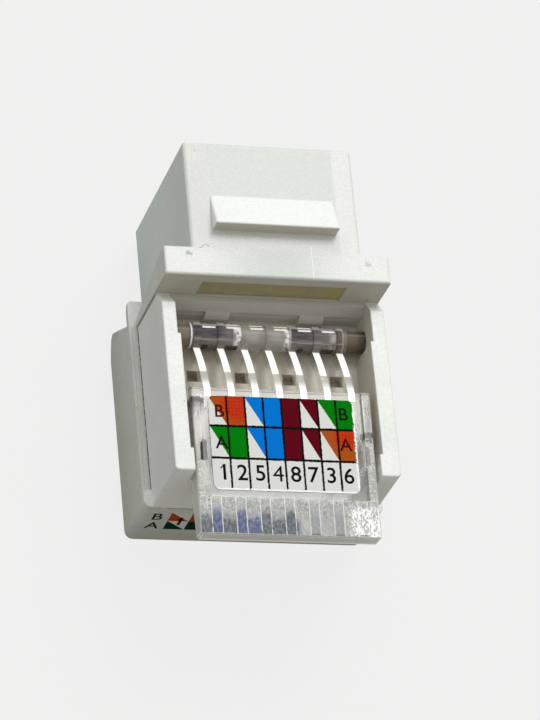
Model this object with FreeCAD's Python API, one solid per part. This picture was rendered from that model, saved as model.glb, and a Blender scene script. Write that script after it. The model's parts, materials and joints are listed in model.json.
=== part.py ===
"""Tool-less RJ45 keystone jack with a clear hinged wire lid.

X runs across the jack, Y points out of the plug opening and Z points to the lid side.
The origin is the middle of the nose, in the plane where the panel lip meets the flange.
"""

import FreeCAD
import Part
import os
from math import cos, radians, sin

V = FreeCAD.Vector

# Cuts reach this far past a face that they open, and edges this near to a plane lie on it
over = 0.1
near = 0.01

# Nose, ridge and flange, which snap into a keystone cut-out
nose_width = 14.5
nose_height = 16.1
nose_length = 9.75
nose_edge_radius = 0.3
ridge_edge_radius = 0.2
flange_edge_radius = 0.2
ridge_width = 10.6
ridge_height = 1.3
ridge_length = 3.3
ridge_root = 0.6
lip_gap = 1.6
flange_width = 19.2
flange_thickness = 2.55
flange_foot = 0.45

# Heights, all measured from the nose top
top = nose_height / 2
wall_top = top - 2.3
front_wall_top = top - 3.6
bay_floor = top - 6.35
rim = top - 9.95
shoulder_bottom = top - 10.5
base_bottom = top - 16.7

# Tray behind the flange
base_width = 20.5
base_rear = -19.0
base_front_low = 0.0
base_front_high = -2.15
shoulder_front = -0.2
base_wall = 1.3
base_front_radius = 0.3
base_rear_radius = 0.7
base_bottom_radius = 0.5
shoulder_radius = 0.4
facet_top = top - 12.1
facet_depth = 0.35
facet_length = 3.1
board_ledge = top - 12.2
tray_half_width = 8.6
tray_floor = top - 15.4
tray_floor_half_width = 7.6

# Plug opening, a standard 8-position modular port with two latch steps
port_width = 11.75
port_floor = top - 10.2
port_roof = top - 3.45
latch_step_width = 6.2
latch_step_roof = top - 2.2
latch_slot_width = 3.5
latch_slot_roof = top - 1.15
port_lip = 1.3
port_end = -1.4
window_half_width = 6.15
window_roof = top - 1.28
chamber_half_width = 5.6
chamber_front = 8.3
chamber_floor = top - 13.2

# Flexible panel latch under the nose
latch_width = 8.0
latch_thickness = 1.1
latch_slit = 0.8
latch_root = 8.6
latch_end = 0.9
latch_hook_height = 1.2
latch_hook_length = 2.8
latch_hook_flat = 0.6
latch_pocket_depth = 2.1

# Wiring block
block_width = 19.0
block_front = -2.7
block_chamfer = 1.3
block_edge_radius = 0.35
wall_edge_radius = 0.12
bay_half_widths = (8.35, 8.1, 7.85)
bay_steps = (-6.8, -17.05)
front_wall_thickness = 0.35
front_wall_foot = -3.9
front_wall_slope_end = top - 5.4
pad_width = 2.1
pad_offset = 4.05
pad_recess = 0.4
pad_recess_top = top - 4.7
sill_front = -17.8
sill_top = top - 4.75
core_half_width = 8.2
core_roof = top - 8.3
core_front = -4.4
core_rear = -17.6
seam_depth = 0.12
seam_height = 0.12
foot_half_width = 10.15
foot_length = 1.55
foot_height = 0.15
foot_radius = 0.6
pocket_size = (1.1, 0.95)
pocket_depth = 1.2
pocket_y = -8.7

# Wire positions
wire_count = 8
wire_pitch = 2.045
strap_count = wire_count - 1

# Lid, described flat: distance behind the axle and height above it
axle_y = -5.6
axle_z = top - 5.1
axle_radius = 1.05
axle_half_length = 6.7
journal_radius = 0.9
journal_tip = 8.95
journal_clearance = 0.05
socket_end = 9.05
lid_tilt = 3.0
lid_width = 15.2
lid_corner = 0.3
lid_edge_radius = 0.15
lid_top = 2.83
lid_side_height = 1.75
lid_tail_height = 1.3
lid_front = 5.65
lid_end = 18.45
tail_start = 15.2
bed_half_width = 6.85
bed_depth = 0.3
skirt_inside = 7.3
rail_slot_width = 0.3
rail_slot_offset = 7.0
rail_slot_start = 10.5
rail_slot_length = 1.6
plate_thickness = 0.75
tail_roof = 0.55
comb_rib = 0.85
comb_end_lip = 0.35
strap_width = 0.6
strap_thickness = 0.9
saddle_radius = 1.16
saddle_angles = (8.0, 80.0, 152.0)
strap_start = 1.0
strap_start_slope = 36.0
strap_end_slope = 18.0
strap_heel = (0.3, -1.1)

# Label on the lid
label_half_width = 6.17
label_thickness = 0.08
label_start = 6.35
label_length = 8.15
label_corner = 0.55

# Contacts, carrier and board
contact_pitch = 1.016
spring_width = 0.4
spring_thickness = 0.3
spring_line = top - 10.55
spring_bend = 0.45
pin_bend = 0.3
spring_front = 7.0
spring_slope = 23.0
spring_end = -1.75
spring_rows = (-4.2, -5.8)
carrier_half_width = 5.5
carrier_front = 8.1
carrier_rear = -2.4
carrier_floor = top - 13.1
carrier_top = top - 10.3
carrier_wall_half_width = 6.1
carrier_wall_top = top - 1.33
groove_width = 0.56
groove_depth = 0.5
comb_slot_depth = 0.7
comb_slot_floor = top - 8.2
comb_slot_roof = top - 4.5
board_thickness = 1.2
board_half_width = 8.4
board_front = -2.9
board_rear = -17.5
pin_end = top - 12.8
pin_hole = 0.7
fork_pitch = 1.87
fork_width = 1.2
fork_thickness = 0.4
fork_top = top - 4.25
fork_foot = top - 8.6
fork_slot = 0.32
fork_slot_depth = 1.9
fork_mouth = 0.9
fork_mouth_depth = 0.6
fork_leg_width = 0.5
fork_rows = (-12.4, -15.6)
fork_clearance = 0.06


def box(half_width, y_rear, y_front, z_low, z_high, x_middle=0.0):
    """Box that is symmetric about x_middle."""
    corner = V(x_middle - half_width, y_rear, z_low)
    return Part.makeBox(2 * half_width, y_front - y_rear, z_high - z_low, corner)


def side_prism(points, half_width):
    """Side-view outline of (y, z) points, extruded across the jack."""
    corners = [V(-half_width, y, z) for y, z in points]
    face = Part.Face(Part.makePolygon(corners + corners[:1]))
    return face.extrude(V(2 * half_width, 0, 0))


def front_prism(points, y_rear, y_front):
    """Front-view outline of (x, z) points, extruded along the jack."""
    corners = [V(x, y_rear, z) for x, z in points]
    face = Part.Face(Part.makePolygon(corners + corners[:1]))
    return face.extrude(V(0, y_front - y_rear, 0))


def mirrored(points):
    """Close a right-hand front-view outline with its mirror image."""
    return points + [(-x, z) for x, z in reversed(points)]


def cross_bar(radius, half_length):
    """Round bar on the axle line."""
    return Part.makeCylinder(radius, 2 * half_length, V(-half_length, axle_y, axle_z), V(1, 0, 0))


def spread(count, pitch):
    """Positions of count things at a pitch, centred on zero."""
    return [(i - (count - 1) / 2) * pitch for i in range(count)]


def upright_edges(shape, y):
    """Edges of the side-view outline that rise and have their middle at y."""
    found = []
    for edge in shape.Edges:
        a, b = (v.Point for v in edge.Vertexes)
        if abs(a.x - b.x) < near < abs(a.z - b.z) and abs((a.y + b.y) / 2 - y) < near:
            found.append(edge)
    return found


def edges_where(shape, test):
    """Edges whose middle passes a test."""
    return [edge for edge in shape.Edges if test(edge.CenterOfMass)]


def lid_point(behind, above):
    """Side-view point of the flat lid as (y, z)."""
    return axle_y - behind, axle_z + above


def tilted(shape):
    """Turn a flat lid piece into its closed position."""
    return shape.rotate(V(0, axle_y, axle_z), V(1, 0, 0), lid_tilt)


def fork_places():
    """Forks alternate between the front and rear row."""
    return [(x, fork_rows[i % 2]) for i, x in enumerate(spread(wire_count, fork_pitch))]


def spring_places():
    """Pins of neighbouring springs alternate between two rows on the board."""
    return [(x, spring_rows[i % 2]) for i, x in enumerate(spread(wire_count, contact_pitch))]


def make_nose():
    nose = box(nose_width / 2, flange_foot - flange_thickness, nose_length, -top, top)
    nose = nose.makeFillet(nose_edge_radius, edges_where(nose, lambda c: c.y > 0))
    ridge_end = lip_gap + ridge_length
    ridge = side_prism(
        [(lip_gap, top - ridge_root), (lip_gap, top + ridge_height), (ridge_end, top),
         (ridge_end, top - ridge_root)],
        ridge_width / 2,
    )
    ridge = ridge.makeFillet(ridge_edge_radius, edges_where(ridge, lambda c: c.z > top))
    return nose.fuse(ridge)


def make_flange():
    """Wings that thin towards the tray so that the jack can be tilted into the panel."""
    outline = [
        (0, top), (-flange_thickness, top), (-flange_thickness, shoulder_bottom),
        (base_front_high, shoulder_bottom), (0, top - flange_foot),
    ]
    flange = side_prism(outline, flange_width / 2)
    return flange.makeFillet(flange_edge_radius, edges_where(flange, lambda c: c.z > top - flange_foot))


def make_base():
    outline = [
        (base_rear, rim), (base_rear, base_bottom), (base_front_low, base_bottom),
        (base_front_high, shoulder_bottom), (shoulder_front, shoulder_bottom), (shoulder_front, rim),
    ]
    base = side_prism(outline, base_width / 2)
    slope_middle = (base_front_low + base_front_high) / 2
    for y, radius in (
        (slope_middle, base_front_radius), (shoulder_front, shoulder_radius), (base_rear, base_rear_radius)
    ):
        base = base.makeFillet(radius, upright_edges(base, y))
    base = base.makeFillet(base_bottom_radius, edges_where(base, lambda c: c.z < base_bottom + near))
    return base.cut([make_facet(1), make_facet(-1)])


def make_facet(side):
    """Disc whose flat face trims a lower front corner of the base; side is 1 or -1."""
    half = base_width / 2
    rise = (facet_top - base_bottom) / (shoulder_bottom - base_bottom)
    tip = V(side * half, base_front_low + rise * (base_front_high - base_front_low), facet_top)
    behind = V(side * half, base_front_low - facet_length, base_bottom)
    front = V(side * (half - facet_depth), base_front_low, base_bottom)
    outward = (behind - tip).cross(front - tip) * side
    return Part.makeCylinder(base_width, base_width, tip, outward)


def make_port():
    """Plug opening with latch steps; behind the front lip the narrow step widens into a catch."""
    main = [(port_width / 2, port_floor), (port_width / 2, port_roof)]
    step = [(latch_step_width / 2, port_roof), (latch_step_width / 2, latch_step_roof)]
    slot = [(latch_slot_width / 2, latch_step_roof), (latch_slot_width / 2, latch_slot_roof)]
    catch = [(latch_step_width / 2, port_roof), (latch_step_width / 2, latch_slot_roof)]
    front = front_prism(mirrored(main + step + slot), nose_length - port_lip, nose_length + over)
    behind = front_prism(mirrored(main + catch), port_end, nose_length - port_lip)
    return front.fuse(behind)


def make_latch():
    """Arm that springs from the front of the nose, with a hook for the panel lip."""
    root, inside, hook = latch_root + over, -top + latch_thickness, -top - latch_hook_height
    outline = [
        (root, -top), (root, inside), (latch_end, inside), (latch_end, -top), (lip_gap, -top),
        (lip_gap, hook), (lip_gap + latch_hook_flat, hook), (lip_gap + latch_hook_length, -top),
    ]
    return side_prism(outline, latch_width / 2)


def make_jack_body():
    body = make_nose().fuse([make_flange(), make_base()])
    flange_rear = -flange_thickness
    rear_opening = box(window_half_width, flange_rear - over, port_end, chamber_floor, window_roof)
    chamber = box(chamber_half_width, flange_rear - over, chamber_front, chamber_floor, port_floor + over)
    tray_rear = base_rear + base_wall
    board_room = box(tray_half_width, tray_rear, flange_rear, board_ledge, rim + over)
    lower_room = box(tray_floor_half_width, tray_rear, flange_rear, tray_floor, board_ledge + over)
    pocket_half, pocket_roof = latch_width / 2 + latch_slit, -top + latch_pocket_depth
    pocket = box(pocket_half, latch_end - latch_slit, latch_root, -top - over, pocket_roof)
    body = body.cut([make_port(), rear_opening, chamber, board_room, lower_room, pocket])
    return body.fuse(make_latch()).removeSplitter()


def make_bay():
    """Space for the wires: side-view profile, wider in steps towards the hinge."""
    y_front, y_rear = block_front + over, base_rear - over
    steps = (y_front,) + bay_steps + (y_rear,)
    profile = side_prism(
        [(y_front, top), (y_front, front_wall_top), (block_front - front_wall_thickness, front_wall_top),
         (front_wall_foot, front_wall_slope_end), (front_wall_foot, bay_floor), (sill_front, bay_floor),
         (sill_front, sill_top), (y_rear, sill_top), (y_rear, top)],
        max(bay_half_widths),
    )
    stepped = [
        box(half, rear, front, rim, top) for half, front, rear in zip(bay_half_widths, steps, steps[1:])
    ]
    return profile.common(stepped[0].fuse(stepped[1:]))


def make_front_wall_recess():
    """Shallow recess in the sloped front wall, between and beside two pads."""
    crest = block_front - front_wall_thickness
    slope = (front_wall_foot - crest) / (front_wall_slope_end - front_wall_top)
    upper = crest + slope * (pad_recess_top - front_wall_top)
    outline = [
        (upper, pad_recess_top), (front_wall_foot, front_wall_slope_end), (front_wall_foot, bay_floor),
        (front_wall_foot + pad_recess, bay_floor), (front_wall_foot + pad_recess, front_wall_slope_end),
        (upper + pad_recess, pad_recess_top),
    ]
    recess = side_prism(outline, bay_half_widths[0])
    pads = [
        box(pad_width / 2, front_wall_foot, block_front, bay_floor, pad_recess_top, x)
        for x in (-pad_offset, pad_offset)
    ]
    return recess.cut(pads)


def make_wiring_block():
    block = box(block_width / 2, base_rear, block_front, rim, wall_top)
    block = block.makeFillet(block_edge_radius, upright_edges(block, base_rear))
    block = block.makeFillet(wall_edge_radius, edges_where(block, lambda c: c.z > wall_top - near))
    front_chamfer = side_prism(
        [(block_front, front_wall_top), (block_front, wall_top), (block_front - block_chamfer, wall_top)],
        block_width / 2,
    )
    core = box(core_half_width, core_rear, core_front, rim, core_roof)
    sockets = cross_bar(journal_radius + journal_clearance, socket_end)
    pockets = [
        box(pocket_size[0] / 2, pocket_y - pocket_size[1] / 2, pocket_y + pocket_size[1] / 2,
            bay_floor - pocket_depth, bay_floor + over, x)
        for x in spread(strap_count, wire_pitch)[::2]
    ]
    slots = [
        box(fork_width / 2 + fork_clearance, y - fork_thickness / 2 - fork_clearance,
            y + fork_thickness / 2 + fork_clearance, core_roof - over, bay_floor + over, x)
        for x, y in fork_places()
    ]
    y_seam = base_rear + foot_length
    ring = box(block_width / 2 + over, y_seam, block_front + over, rim, rim + seam_height)
    seam = ring.cut(box(block_width / 2 - seam_depth, y_seam, block_front + over, rim, rim + seam_height))
    cuts = [front_chamfer, make_bay(), make_front_wall_recess(), core, sockets, seam] + pockets + slots
    feet = box(foot_half_width, base_rear, base_rear + foot_length, rim, rim + foot_height)
    feet = feet.makeFillet(foot_radius, upright_edges(feet, base_rear)).cut(core)
    return block.cut(cuts).fuse(feet).removeSplitter()


def make_straps():
    """Curved straps from saddles over the axle bar to the front edge of the label plate."""
    start, end = radians(strap_start_slope), radians(strap_end_slope)
    outer = (lid_front - strap_start) / (sin(start) - sin(end))
    centre = (lid_front + outer * sin(end), lid_top - bed_depth - outer * cos(end))

    def place(behind, above):
        y, z = lid_point(behind, above)
        return V(0, y, z)

    def arc(radius, first, last):
        angles = (first, (first + last) / 2, last)
        return [place(centre[0] - radius * sin(a), centre[1] + radius * cos(a)) for a in angles]

    upper = arc(outer, start, end)
    lower = arc(outer - strap_thickness, end, start)
    root = Part.makePolygon([lower[2], place(*strap_heel), place(0, 0), upper[0]])
    tip = Part.makeLine(upper[2], lower[0])
    strap = Part.Face(Part.Wire([Part.Arc(*upper).toShape(), tip, Part.Arc(*lower).toShape()] + root.Edges))
    rest = [place(saddle_radius * cos(radians(a)), saddle_radius * sin(radians(a))) for a in saddle_angles]
    sides = Part.makePolygon([rest[2], place(0, 0), rest[0]])
    saddle = Part.Face(Part.Wire([Part.Arc(*rest).toShape()] + sides.Edges))
    straps = []
    for x in spread(strap_count, wire_pitch):
        for face in (strap, saddle):
            piece = face.extrude(V(strap_width, 0, 0))
            piece.translate(V(x - strap_width / 2, 0, 0))
            straps.append(piece)
    return straps


def make_lid_plate():
    """Label plate with side skirts, and a tail whose underside is a comb for the wires."""
    half = lid_width / 2
    y_front, z_top = lid_point(lid_front, lid_top)
    y_tail, z_under = lid_point(tail_start, lid_top - bed_depth - plate_thickness)
    y_end = lid_point(lid_end, 0)[0]
    plate = side_prism(
        [(y_front, z_top), (y_front, z_top - lid_side_height), (y_tail, z_top - lid_side_height),
         (y_end, z_top - lid_tail_height), (y_end, z_top)],
        half,
    )
    plate = plate.makeFillet(lid_corner, upright_edges(plate, y_end))
    plate = plate.makeFillet(lid_edge_radius, edges_where(plate, lambda c: c.z > z_top - near))
    bed = box(bed_half_width, y_tail, y_front + over, z_top - bed_depth, z_top + over)
    z_low = z_top - lid_side_height - over
    hollow = box(skirt_inside, y_tail, y_front + over, z_low, z_under)
    y_lip, z_roof = y_end + comb_end_lip, z_top - tail_roof
    ribs = [box(comb_rib / 2, y_lip, y_tail, z_low, z_roof, x) for x in spread(strap_count, wire_pitch)]
    channels = box(skirt_inside, y_lip, y_tail, z_low, z_roof).cut(ribs)
    y_slot = lid_point(rail_slot_start, 0)[0]
    slots = [
        box(rail_slot_width / 2, y_slot - rail_slot_length, y_slot, z_low, z_top + over, x)
        for x in (-rail_slot_offset, rail_slot_offset)
    ]
    return plate.cut([bed, hollow, channels] + slots)


def make_wire_lid():
    bar = cross_bar(axle_radius, axle_half_length)
    journals = cross_bar(journal_radius, journal_tip)
    return tilted(bar.fuse([journals, make_lid_plate()] + make_straps()).removeSplitter())


def make_lid_label():
    y_front, z_bed = lid_point(label_start, lid_top - bed_depth)
    label = box(label_half_width, y_front - label_length, y_front, z_bed, z_bed + label_thickness)
    corners = [edge for edge in label.Edges if edge.Length < label_thickness + near]
    return tilted(label.makeFillet(label_corner, corners))


def make_contact_carrier():
    tongue = box(carrier_half_width, carrier_rear, carrier_front, carrier_floor, carrier_top)
    wall = box(carrier_wall_half_width, carrier_rear, port_end, carrier_floor, carrier_wall_top)
    groove_floor, slot_end = carrier_top - groove_depth, port_end - comb_slot_depth
    cuts = []
    for x in spread(wire_count, contact_pitch):
        half = groove_width / 2
        cuts.append(box(half, carrier_rear - over, carrier_front + over, groove_floor, carrier_top + near, x))
        cuts.append(box(half, slot_end, port_end + over, comb_slot_floor, comb_slot_roof, x))
    return tongue.fuse(wall).removeSplitter().cut(cuts)


def make_plug_contact(x, y_pin):
    """Flat spring: pin in the board, run along the carrier, hairpin, sloped blade in the plug opening."""
    slope = radians(spring_slope)
    turn_y, turn_z = spring_front, spring_line + spring_bend

    def point(y, z):
        return V(x, y, z)

    def around(y, z, radius, degrees):
        return point(y + radius * cos(radians(degrees)), z + radius * sin(radians(degrees)))

    bulge = around(turn_y, turn_z, spring_bend, -spring_slope / 2)
    rise = around(turn_y, turn_z, spring_bend, 90 - spring_slope)
    blade = (rise.y - spring_end) / cos(slope)
    corner_y, corner_z = y_pin + pin_bend, spring_line - pin_bend
    route = [
        Part.makeLine(point(y_pin, pin_end), point(y_pin, corner_z)),
        Part.Arc(point(y_pin, corner_z), around(corner_y, corner_z, pin_bend, 135),
                 point(corner_y, spring_line)).toShape(),
        Part.makeLine(point(corner_y, spring_line), point(turn_y, spring_line)),
        Part.Arc(point(turn_y, spring_line), bulge, rise).toShape(),
        Part.makeLine(rise, rise + point(-blade * cos(slope), blade * sin(slope)) - point(0, 0)),
    ]
    w, t = spring_width / 2, spring_thickness / 2
    section = [V(x - w, y_pin - t, pin_end), V(x + w, y_pin - t, pin_end),
               V(x + w, y_pin + t, pin_end), V(x - w, y_pin + t, pin_end)]
    profile = Part.makePolygon(section + section[:1])
    return Part.Wire(route).makePipeShell([profile], True, False)


def make_wire_contact(x, y):
    """Tinned fork: V mouth and slot that grip a wire, and a leg into the board."""
    half, slot, leg = fork_width / 2, fork_slot / 2, fork_leg_width / 2
    outline = [
        (leg, pin_end), (leg, fork_foot), (half, fork_foot), (half, fork_top), (fork_mouth / 2, fork_top),
        (slot, fork_top - fork_mouth_depth), (slot, fork_top - fork_slot_depth),
    ]
    fork = front_prism(mirrored(outline), y - fork_thickness / 2, y + fork_thickness / 2)
    fork.translate(V(x, 0, 0))
    return fork


def make_circuit_board():
    board = box(board_half_width, board_rear, board_front, board_ledge, board_ledge + board_thickness)
    holes = [
        box(pin_hole / 2, y - pin_hole / 2, y + pin_hole / 2, board_ledge - over,
            board_ledge + board_thickness + over, x)
        for x, y in fork_places() + spring_places()
    ]
    return board.cut(holes)


nodes = {
    "jack_body": make_jack_body(),
    "wiring_block": make_wiring_block(),
    "wire_lid": make_wire_lid(),
    "lid_label": make_lid_label(),
    "contact_carrier": make_contact_carrier(),
    "circuit_board": make_circuit_board(),
}
for number, (x, y) in enumerate(spring_places(), 1):
    nodes[f"plug_contact_{number}"] = make_plug_contact(x, y)
for number, (x, y) in enumerate(fork_places(), 1):
    nodes[f"wire_contact_{number}"] = make_wire_contact(x, y)

os.makedirs("parts", exist_ok=True)
for name, shape in nodes.items():
    shape.exportStep(f"parts/{name}.step")
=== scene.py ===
# %% [markdown]
# # A tool-less RJ45 keystone jack
# The jack snaps into a wall plate. Two white mouldings hold the plug opening and a bay for eight wires,
# and a clear hinged lid with a printed label presses the wires onto forked contacts.
# The solids arrive finished and in place, so this lesson is about surfaces: moulded white plastic with
# its dust and marks, clear plastic that is frosted in places, print and plating. The only new pieces
# are a thin lip in a joint and the characters of the print.

# %% Load the solids
import json
import math

import bmesh
import bpy
from mathutils import Matrix, Vector


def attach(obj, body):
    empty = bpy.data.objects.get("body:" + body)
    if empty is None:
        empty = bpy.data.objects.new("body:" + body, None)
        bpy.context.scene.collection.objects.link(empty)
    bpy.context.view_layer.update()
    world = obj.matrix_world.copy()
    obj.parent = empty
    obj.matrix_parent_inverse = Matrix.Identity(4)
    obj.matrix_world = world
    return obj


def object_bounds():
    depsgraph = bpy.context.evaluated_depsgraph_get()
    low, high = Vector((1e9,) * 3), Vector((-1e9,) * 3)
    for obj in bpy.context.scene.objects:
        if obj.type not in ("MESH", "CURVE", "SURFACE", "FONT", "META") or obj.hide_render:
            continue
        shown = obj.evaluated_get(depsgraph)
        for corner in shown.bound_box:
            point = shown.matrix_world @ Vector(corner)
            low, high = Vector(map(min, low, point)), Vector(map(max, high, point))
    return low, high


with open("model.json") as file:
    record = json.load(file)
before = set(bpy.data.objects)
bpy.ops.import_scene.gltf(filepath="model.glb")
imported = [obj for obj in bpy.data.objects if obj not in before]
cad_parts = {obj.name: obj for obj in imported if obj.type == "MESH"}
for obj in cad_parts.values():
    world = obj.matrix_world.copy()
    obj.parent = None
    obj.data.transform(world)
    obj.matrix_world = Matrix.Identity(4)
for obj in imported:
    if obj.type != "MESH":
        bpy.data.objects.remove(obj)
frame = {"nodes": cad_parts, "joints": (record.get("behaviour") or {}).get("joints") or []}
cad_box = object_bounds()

mm = 0.001
hinge = next(joint for joint in frame["joints"] if joint["name"] == "lid_hinge")
axle = Vector(hinge["pos_m"])
print("nodes:", len(frame["nodes"]), "axle at", [round(value / mm, 2) for value in axle])

# %% [markdown]
# ## Camera
# The picture was taken from above and behind the left corner with a long lens, so parallel edges stay
# almost parallel. A camera can be turned by angles or aimed at a target. Here three unit vectors build
# its matrix directly: where it looks, what is up in the picture, and the third at right angles to both.
# That keeps the small roll of the hand-held picture. The lens is known in picture heights, and the
# sensor's length lies along the picture's long side, so their product is the focal length.

# %% Camera
focal_in_heights, sensor_length = 5.958, 36.0
camera_place = Vector((-98.6, -158.7, 306.1)) * mm
looks_along = Vector((0.2799, 0.4284, -0.8591)).normalized()
picture_top = Vector((-0.040, 0.899, 0.435))
picture_right = looks_along.cross(picture_top).normalized()
picture_up = picture_right.cross(looks_along)

camera_data = bpy.data.cameras.new("photo_camera")
camera_data.sensor_width = sensor_length
camera_data.lens = focal_in_heights * sensor_length
camera_data.clip_start = 1 * mm
camera = bpy.data.objects.new("photo_camera", camera_data)
bpy.context.scene.collection.objects.link(camera)
turn = Matrix((picture_right, picture_up, -looks_along)).transposed()
camera.matrix_world = Matrix.Translation(camera_place) @ turn.to_4x4()
bpy.context.scene.camera = camera
print("lens", round(camera_data.lens, 1), "mm, distance", round(camera_place.length / mm), "mm")

# %% [markdown]
# ## Shader maths in plain Python
# A material is a graph of nodes. Drawing such a graph in code gets long, so one small class wraps a
# socket: sums, products and comparisons on it add Math nodes, and one method adds any other node. A
# mask can then be written like the sentence that describes it.

# %% A socket that can be added and multiplied


class Shade:
    """A graph and one of its sockets, which takes part in Python expressions."""

    def __init__(self, tree, socket=None):
        self.tree, self.socket = tree, socket

    def node(self, kind, inputs, output=0, stops=(), **settings):
        """Add a node: settings and ramp stops first, then the values or links of its sockets."""
        made = self.tree.nodes.new(kind)
        for name, value in settings.items():
            setattr(made, name, value)
        if stops:
            ramp = made.color_ramp
            ramp.interpolation = "CONSTANT"
            ramp.elements.remove(ramp.elements[1])
            ramp.elements[0].position, ramp.elements[0].color = stops[0]
            for position, colour in stops[1:]:
                ramp.elements.new(position).color = colour
        for key, value in inputs.items():
            if isinstance(value, Shade):
                self.tree.links.new(value.socket, made.inputs[key])
            else:
                made.inputs[key].default_value = value
        return Shade(self.tree, made.outputs[output]) if len(made.outputs) else None

    def maths(self, operation, first, second=0.0):
        return self.node("ShaderNodeMath", {0: first, 1: second}, operation=operation)

    def __add__(self, other):
        return self.maths("ADD", self, other)

    def __sub__(self, other):
        return self.maths("SUBTRACT", self, other)

    def __rsub__(self, other):
        return self.maths("SUBTRACT", other, self)

    def __mul__(self, other):
        return self.maths("MULTIPLY", self, other)

    def __truediv__(self, other):
        return self.maths("DIVIDE", self, other)

    def __lt__(self, other):
        return self.maths("LESS_THAN", self, other)

    def __gt__(self, other):
        return self.maths("GREATER_THAN", self, other)

    def __abs__(self):
        return self.maths("ABSOLUTE", self)

    def __floor__(self):
        return self.maths("FLOOR", self)

    __radd__ = __add__
    __rmul__ = __mul__

    def least(self, other):
        return self.maths("MINIMUM", self, other)

    def most(self, other):
        return self.maths("MAXIMUM", self, other)

    def sine(self):
        return self.maths("SINE", self)

    def root(self):
        return self.maths("SQRT", self)

    def fade(self, start, end):
        """0 at start, 1 at end and smooth between them; start may be the larger."""
        sockets = {"Value": self, "From Min": start, "From Max": end}
        return self.node("ShaderNodeMapRange", sockets, interpolation_type="SMOOTHSTEP")

    def band(self, low, high, soft=0.02):
        """1 between low and high, with soft ends."""
        return self.fade(low - soft, low + soft) * self.fade(high + soft, high - soft)

    def tint(self, low, high):
        """Mix two colours, with this socket as the factor."""
        return self.node("ShaderNodeMix", {0: self, 6: low, 7: high}, output=2, data_type="RGBA")

    def steps(self, colours):
        """Equal steps of colour as this socket goes from 0 to 1."""
        stops = [(index / len(colours), colour) for index, colour in enumerate(colours)]
        return self.node("ShaderNodeValToRGB", {"Fac": self}, stops=stops)


print("a socket knows", [name for name in vars(Shade) if not name.startswith("_")])

# %% [markdown]
# ## Colours and materials
# Colours are easiest to read from a picture as the 0 to 255 numbers of a screen, and shaders want them
# linear, so a helper converts them. A new material starts with the object's own coordinates in
# millimetres, turned into the lid's flat frame where a pattern lies on the tilted lid, and ends with
# its output.

# %% Colours and materials


def paint(red, green, blue):
    """Linear colour from 0 to 255 screen values."""
    screen = [value / 255 for value in (red, green, blue)]
    linear = [value / 12.92 if value <= 0.04045 else ((value + 0.055) / 1.055) ** 2.4 for value in screen]
    return (*linear, 1.0)


def start_material(name, origin=(0.0, 0.0, 0.0), tilt=0.0):
    """A new material and its object coordinates in millimetres from an origin, tilted about X."""
    material = bpy.data.materials.new(name)
    material.use_nodes = True
    material.node_tree.nodes.clear()
    place = Shade(material.node_tree).node("ShaderNodeTexCoord", {}, output="Object")
    sockets = {"Vector": place, "Location": origin, "Rotation": (tilt, 0.0, 0.0), "Scale": (mm, mm, mm)}
    return material, place.node("ShaderNodeMapping", sockets, vector_type="TEXTURE")


def end_material(material, shader):
    shader.node("ShaderNodeOutputMaterial", {"Surface": shader})
    return material


def dress(material, *names):
    for name in names:
        node = frame["nodes"][name]
        node.data.materials.clear()
        node.data.materials.append(material)
    print(material.name, "on", ", ".join(names), "with", len(material.node_tree.nodes), "nodes")


black, white = paint(0, 0, 0), paint(255, 255, 255)
print("half of screen white is", round(paint(128, 128, 128)[0], 2), "of its light")

# %% [markdown]
# ## Patterns and relief
# Dust, grain and print are all masks: numbers from 0 to 1 over the surface. Some come from noise, some
# are bands or round marks at a known place. Relief is a bump whose height is in millimetres. Moulded
# edges are never truly sharp, and as the solids are fixed here, a Bevel node rounds their shading
# instead of their mesh.

# %% Masks and relief


def axes(place):
    """The x, y and z of a vector socket."""
    return [place.node("ShaderNodeSeparateXYZ", {"Vector": place}, output=index) for index in range(3)]


def noise(place, scale, detail=2.0, rough=0.5):
    sockets = {"Vector": place, "Scale": scale, "Detail": detail, "Roughness": rough}
    return place.node("ShaderNodeTexNoise", sockets)


def bands(along, places):
    """1 inside any of the (low, high, soft) bands along one axis."""
    total = along.band(*places[0])
    for place in places[1:]:
        total = total + along.band(*place)
    return total


def spot(across, along, middle, radius):
    """1 at the middle of a round mark, 0 from its radius on."""
    aside, ahead = across - middle[0], along - middle[1]
    return (aside * aside + ahead * ahead).root().fade(radius, radius * 0.4)


def relief(place, height, depth, edge=0.0):
    """Bumped normal: height 1 stands depth mm proud, and sharp edges look rounded by edge mm."""
    sockets = {"Height": height, "Distance": depth * mm, "Strength": 1.0}
    if edge:
        sockets["Normal"] = place.node("ShaderNodeBevel", {"Radius": edge * mm})
    return place.node("ShaderNodeBump", sockets)


print("masks come from", [helper.__name__ for helper in (noise, bands, spot)])

# %% [markdown]
# ## The wire colour code
# Both the label and the rear of the jack carry the two standard wiring schemes: eight columns, a row
# for B and a row for A, and cells of the striped wires cut by a diagonal. A colour ramp with constant
# steps makes a row, a second ramp says which cells are cut, and the fraction of the column against the
# fraction of the row draws the diagonal. This is print, so it stays in the material and follows the
# surface exactly.

# %% Colour rows for both prints
column_count, cut_columns = 8, (0, 2, 5, 6)
paper = paint(219, 220, 215)
orange, red_dots = paint(166, 80, 26), paint(194, 36, 16)
label_green, rear_green = paint(0, 122, 6), paint(0, 52, 36)
blue, maroon = paint(0, 115, 208), paint(92, 4, 20)


def wire_rows(green):
    """Row B and row A of the code, which swap the orange and the green pair."""
    middle = (blue, blue, maroon, maroon)
    return (orange, orange, *middle, green, green), (green, green, *middle, orange, orange)


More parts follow.
